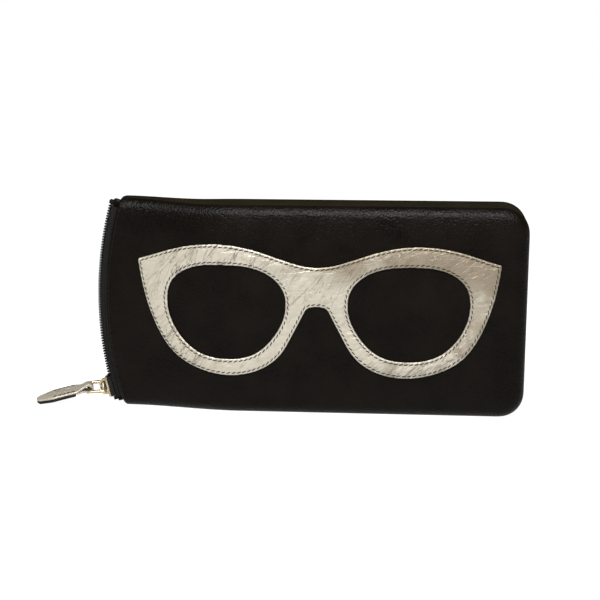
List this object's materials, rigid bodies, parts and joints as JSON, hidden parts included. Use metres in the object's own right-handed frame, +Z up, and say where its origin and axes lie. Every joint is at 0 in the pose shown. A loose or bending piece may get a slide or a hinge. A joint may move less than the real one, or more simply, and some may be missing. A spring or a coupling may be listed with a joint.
{
  "type": "eyeglasses case",
  "caption": "Padded leather eyeglasses case with a curved zip across one short end, a leather pull and a spectacle-frame shape sewn on the front.",
  "frame": {"origin": "on the surface that the case stands on, midway between front and back, and 88 mm from the closed end", "axes": "+X along the case from the zipped mouth to the closed end, -Y out of the front with the spectacle shape, +Z up from the long edge that the case stands on"},
  "size_m": [0.2026, 0.0293, 0.0873],
  "materials": {
    "black_leather": "fine pebbled grain, soft semi-gloss",
    "silver_leather": "crinkled metallic silver-champagne foil finish",
    "dark_backing": "dark edge-painted leather",
    "foam": "closed-cell foam sheet",
    "lining_cloth": "fine twill",
    "thread": "twisted sewing thread",
    "zip_tape": "woven herringbone tape",
    "zip_teeth": "satin nylon coil",
    "pale_metal": "pale gold plated, polished"
  },
  "bodies": {
    "case": {"gusset": "black_leather", "gusset_lining": "lining_cloth", "zip_upper_stop": "pale_metal", "zip_lower_stop": "pale_metal", "zip_upper_tab": "black_leather", "zip_lower_tab": "black_leather"},
    "front_side": {"front_panel": "black_leather", "front_padding": "foam", "front_lining": "lining_cloth", "front_mouth_stitching": "thread", "front_zip_tape": "zip_tape", "front_zip_teeth": "zip_teeth", "applique": "silver_leather", "applique_stitching": "thread"},
    "back_side": {"back_panel": "black_leather", "back_padding": "foam", "back_lining": "lining_cloth", "back_mouth_stitching": "thread", "back_zip_tape": "zip_tape", "back_zip_teeth": "zip_teeth"},
    "slider": {"slider_body": "pale_metal", "slider_crown": "pale_metal"},
    "link": {"pull_link": "pale_metal"},
    "strap": {"pull_strap_face": "silver_leather", "pull_strap_backing": "dark_backing", "pull_stitching": "thread"}
  },
  "joints": [
    {"name": "zip_travel", "type": "hinge", "parent": "case", "child": "slider", "pos_m": [0.061, 0, 0.04365], "axis": [0, 1, 0], "range_deg": [0, 27]},
    {"name": "front_open", "type": "hinge", "parent": "case", "child": "front_side", "pos_m": [0.088, -0.0085, 0], "axis": [0, 0, 1], "range_deg": [0, 3], "deforming": ["front_zip_tape", "front_zip_teeth"]},
    {"name": "back_open", "type": "hinge", "parent": "case", "child": "back_side", "pos_m": [0.088, 0.0085, 0], "axis": [0, 0, -1], "range_deg": [0, 3], "deforming": ["back_zip_tape", "back_zip_teeth"]},
    {"name": "link_swing", "type": "hinge", "parent": "slider", "child": "link", "pos_m": [-0.08647, 0, 0.0068], "axis": [-0.2119, 0.9028, 0.3741], "range_deg": [-60, 42]},
    {"name": "strap_swing", "type": "hinge", "parent": "link", "child": "strap", "pos_m": [-0.0933, -0.00145, 0.00643], "axis": [-0.2119, 0.9028, 0.3741], "range_deg": [-30, 42]}
  ],
  "couplings": [
    {"joint": "front_open", "follows": "zip_travel", "ratio": 0.111},
    {"joint": "back_open", "follows": "zip_travel", "ratio": 0.111}
  ]
}
